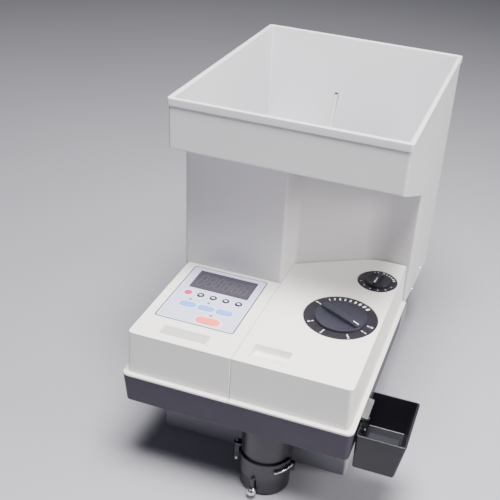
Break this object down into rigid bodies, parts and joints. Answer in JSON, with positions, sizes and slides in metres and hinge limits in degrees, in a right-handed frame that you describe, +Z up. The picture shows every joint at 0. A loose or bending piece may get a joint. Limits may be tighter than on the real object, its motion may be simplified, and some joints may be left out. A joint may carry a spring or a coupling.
{
  "type": "coin counting machine",
  "caption": "Heavy-duty bench coin counter: open hopper over a coin disc, keypad cover, lift-off lid with two setting dials, bag spout below and a reject box.",
  "frame": {"origin": "centre of the four stand bolt holes, on the underside of the base pan", "axes": "+X to the right seen from the keypad, +Y towards the rear, +Z up"},
  "size_m": [0.4405, 0.6134, 0.566],
  "materials": {
    "pan": "fine-textured dark purple-grey moulding",
    "rubber": "matt rubber",
    "steel": "bright zinc-plated steel",
    "sheet_steel": "zinc-plated sheet",
    "cover": "fine-textured pale grey moulding",
    "label": "blank printed label",
    "overlay": "embossed lavender film",
    "window": "smoked display window",
    "board": "green circuit board",
    "key_red": "red key",
    "key_dark": "dark key with a pale mark",
    "key_blue": "blue key",
    "key_orange": "red-orange key",
    "dial_black": "black scale plate with white graduations",
    "knob_black": "black moulding",
    "aluminium": "machined aluminium",
    "motor_grey": "grey painted steel",
    "belt": "green drive belt",
    "solenoid": "blue coil",
    "spout_black": "satin black enamel",
    "chrome": "bright chrome plate",
    "box_black": "satin black moulding",
    "housing": "fine-textured grey moulding",
    "rear_grey": "grey painted steel",
    "socket_black": "black moulded socket"
  },
  "bodies": {
    "chassis": {"base_pan": "pan", "foot_pads": "rubber", "foot_screws": "steel", "deck_posts": "steel", "deck_plate": "sheet_steel", "control_cover": "cover", "name_plate": "label", "panel_overlay": "overlay", "display_window": "window", "control_board": "board", "dial_bridge": "sheet_steel", "diameter_scale": "dial_black", "thickness_scale": "dial_black", "path_bed": "sheet_steel", "disc_guard": "sheet_steel", "disc_motor": "motor_grey", "belt_frame": "sheet_steel", "feed_belt": "belt", "count_sensor": "knob_black", "stop_solenoid": "solenoid", "exit_chute": "sheet_steel", "spout_tube": "spout_black", "clamp_pin": "chrome", "reject_chute": "sheet_steel", "box_pegs": "steel", "tower_housing": "housing", "hopper_bin": "housing", "drop_chute": "sheet_steel", "rod_bracket": "sheet_steel", "rear_panel": "rear_grey", "power_inlet": "socket_black", "power_supply": "motor_grey", "case_screws": "chrome"},
    "reset_key": {"key_reset": "key_red"},
    "set_key_1": {"key_set_1": "key_dark"},
    "set_key_2": {"key_set_2": "key_dark"},
    "set_key_3": {"key_set_3": "key_dark"},
    "set_key_4": {"key_set_4": "key_dark"},
    "mode_key_left": {"key_mode_left": "key_blue"},
    "mode_key_middle": {"key_mode_middle": "key_blue"},
    "mode_key_right": {"key_mode_right": "key_blue"},
    "start_key": {"key_start": "key_orange"},
    "lift_lid": {"lid": "cover"},
    "diameter_dial": {"diameter_knob": "knob_black", "diameter_shaft": "steel"},
    "diameter_rail": {"guide_rail": "sheet_steel"},
    "thickness_dial": {"thickness_knob": "knob_black", "thickness_shaft": "steel"},
    "gate": {"thickness_gate": "sheet_steel"},
    "feed_disc": {"coin_disc": "aluminium", "disc_shaft": "steel"},
    "front_roller": {"belt_pulley_front": "knob_black"},
    "rear_roller": {"belt_pulley_rear": "knob_black"},
    "stopper": {"stop_plunger": "steel"},
    "bag_clamp": {"clamp_arm": "spout_black", "clamp_knob": "chrome", "clamp_wire": "chrome"},
    "coin_box": {"reject_box": "box_black"},
    "level_sensor": {"level_rod": "chrome"},
    "switch_rocker": {"power_switch": "socket_black"}
  },
  "joints": [
    {"name": "reset_key_press", "type": "slide", "parent": "chassis", "child": "reset_key", "axis": [0, 0, -1], "range_m": [0, 0.0006], "stiffness_N_per_m": 250},
    {"name": "set_key_1_press", "type": "slide", "parent": "chassis", "child": "set_key_1", "axis": [0, 0, -1], "range_m": [0, 0.0006], "stiffness_N_per_m": 250},
    {"name": "set_key_2_press", "type": "slide", "parent": "chassis", "child": "set_key_2", "axis": [0, 0, -1], "range_m": [0, 0.0006], "stiffness_N_per_m": 250},
    {"name": "set_key_3_press", "type": "slide", "parent": "chassis", "child": "set_key_3", "axis": [0, 0, -1], "range_m": [0, 0.0006], "stiffness_N_per_m": 250},
    {"name": "set_key_4_press", "type": "slide", "parent": "chassis", "child": "set_key_4", "axis": [0, 0, -1], "range_m": [0, 0.0006], "stiffness_N_per_m": 250},
    {"name": "mode_key_left_press", "type": "slide", "parent": "chassis", "child": "mode_key_left", "axis": [0, 0, -1], "range_m": [0, 0.0006], "stiffness_N_per_m": 250},
    {"name": "mode_key_middle_press", "type": "slide", "parent": "chassis", "child": "mode_key_middle", "axis": [0, 0, -1], "range_m": [0, 0.0006], "stiffness_N_per_m": 250},
    {"name": "mode_key_right_press", "type": "slide", "parent": "chassis", "child": "mode_key_right", "axis": [0, 0, -1], "range_m": [0, 0.0006], "stiffness_N_per_m": 250},
    {"name": "start_key_press", "type": "slide", "parent": "chassis", "child": "start_key", "axis": [0, 0, -1], "range_m": [0, 0.0006], "stiffness_N_per_m": 250},
    {"name": "lid_lift", "type": "slide", "parent": "chassis", "child": "lift_lid", "axis": [0, 0, 1], "range_m": [0, 0.11]},
    {"name": "diameter_turn", "type": "hinge", "parent": "chassis", "child": "diameter_dial", "pos_m": [0.108, -0.133, 0.11], "axis": [0, 0, 1], "range_deg": [-135, 135]},
    {"name": "rail_shift", "type": "slide", "parent": "chassis", "child": "diameter_rail", "axis": [1, 0, 0], "range_m": [-0.0095, 0.0095]},
    {"name": "thickness_turn", "type": "hinge", "parent": "chassis", "child": "thickness_dial", "pos_m": [0.137, -0.006, 0.11], "axis": [0, 0, 1], "range_deg": [-135, 135]},
    {"name": "gate_shift", "type": "slide", "parent": "chassis", "child": "gate", "axis": [0, 0, 1], "range_m": [-0.0014, 0.0014]},
    {"name": "disc_spin", "type": "hinge", "parent": "chassis", "child": "feed_disc", "pos_m": [-0.048, 0.15, 0.076], "axis": [0, 0, 1], "continuous": true},
    {"name": "rear_roller_spin", "type": "hinge", "parent": "chassis", "child": "rear_roller", "pos_m": [0.04, -0.045, 0.095], "axis": [1, 0, 0], "continuous": true},
    {"name": "front_roller_spin", "type": "hinge", "parent": "chassis", "child": "front_roller", "pos_m": [0.04, -0.195, 0.095], "axis": [1, 0, 0], "continuous": true},
    {"name": "stopper_slide", "type": "slide", "parent": "chassis", "child": "stopper", "axis": [1, 0, 0], "range_m": [0, 0.005], "stiffness_N_per_m": 200},
    {"name": "clamp_swing", "type": "hinge", "parent": "chassis", "child": "bag_clamp", "pos_m": [-0.008, -0.256, -0.079], "axis": [0, 0, 1], "range_deg": [-25, 0], "stiffness_Nm_per_rad": 1, "springref_deg": 5.73},
    {"name": "box_pull", "type": "slide", "parent": "chassis", "child": "coin_box", "axis": [1, 0, 0], "range_m": [0, 0.06]},
    {"name": "rod_tilt", "type": "hinge", "parent": "chassis", "child": "level_sensor", "pos_m": [-0.0005, 0.078, 0.241], "axis": [1, 0, 0], "range_deg": [-6, 6], "stiffness_Nm_per_rad": 1},
    {"name": "rocker_tip", "type": "hinge", "parent": "chassis", "child": "switch_rocker", "pos_m": [0.0865, 0.298, 0.095], "axis": [1, 0, 0], "range_deg": [-12, 12]}
  ],
  "couplings": [
    {"joint": "rail_shift", "follows": "diameter_turn", "m_per_rad": 0.004},
    {"joint": "gate_shift", "follows": "thickness_turn", "m_per_rad": 0.00055},
    {"joint": "front_roller_spin", "follows": "rear_roller_spin", "ratio": 1}
  ]
}
